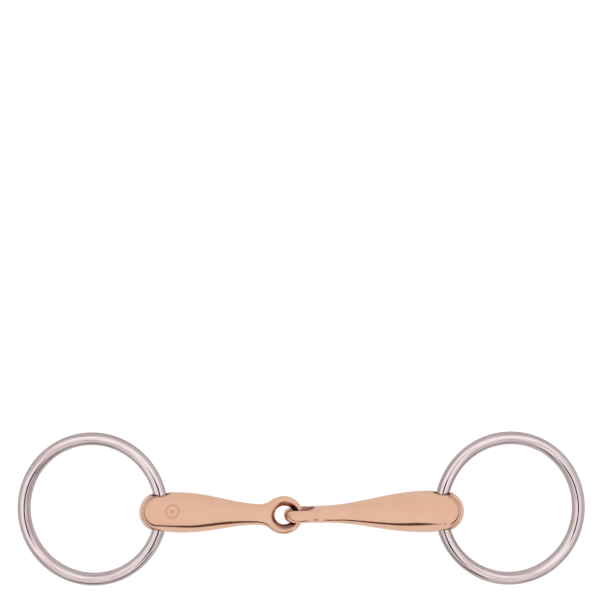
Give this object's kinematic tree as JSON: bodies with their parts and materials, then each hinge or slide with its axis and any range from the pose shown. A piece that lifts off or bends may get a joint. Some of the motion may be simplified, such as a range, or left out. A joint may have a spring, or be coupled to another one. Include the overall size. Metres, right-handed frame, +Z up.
{
  "type": "snaffle bit",
  "caption": "Single-jointed loose-ring snaffle bit: two copper-alloy mouthpiece halves linked eye through eye, with a sliding, swinging steel ring at each end.",
  "frame": {"origin": "on the surface that the bit lies on, midway between the two rings", "axes": "+X along the mouthpiece towards the ring whose cannon has its eye on edge, +Z up off the surface, +Y across the mouthpiece in the plane of the rings"},
  "size_m": [0.2682, 0.0724, 0.0193],
  "materials": {
    "copper_alloy": "polished copper-rich alloy, rose gold in colour",
    "polished_steel": "polished stainless steel"
  },
  "bodies": {
    "left_cannon": {"left_cannon": "copper_alloy"},
    "left_eye": {"left_eye_loop": "copper_alloy"},
    "right_cannon": {"right_cannon": "copper_alloy"},
    "left_bore": {"left_bore_wall": "copper_alloy"},
    "left_ring": {"left_ring": "polished_steel"},
    "right_bore": {"right_bore_wall": "copper_alloy"},
    "right_ring": {"right_ring": "polished_steel"}
  },
  "joints": [
    {"name": "centre_fold_flat", "type": "hinge", "parent": "left_cannon", "child": "left_eye", "pos_m": [-0.00817, -0.00257, 0.00965], "axis": [0, 0, 1], "range_deg": [-120, 120]},
    {"name": "centre_fold_upright", "type": "hinge", "parent": "left_eye", "child": "right_cannon", "pos_m": [0.00072, -0.00234, 0.00965], "axis": [-0.0262, 0.9997, 0], "range_deg": [-120, 120]},
    {"name": "left_ring_swing", "type": "hinge", "parent": "left_cannon", "child": "left_bore", "pos_m": [-0.06615, -0.00106, 0.00965], "axis": [0.0262, 0.9997, 0], "range_deg": [-145, 155]},
    {"name": "left_ring_slide_round", "type": "hinge", "parent": "left_bore", "child": "left_ring", "pos_m": [-0.0983, -0.00021, 0.00636], "axis": [-0.1018, 0.0027, 0.9948], "continuous": true},
    {"name": "right_ring_swing", "type": "hinge", "parent": "right_cannon", "child": "right_bore", "pos_m": [0.06615, -0.00063, 0.00965], "axis": [0.0262, -0.9997, 0], "range_deg": [-145, 155]},
    {"name": "right_ring_slide_round", "type": "hinge", "parent": "right_bore", "child": "right_ring", "pos_m": [0.0983, 0.00021, 0.00636], "axis": [0.1018, 0.0027, 0.9948], "continuous": true}
  ]
}
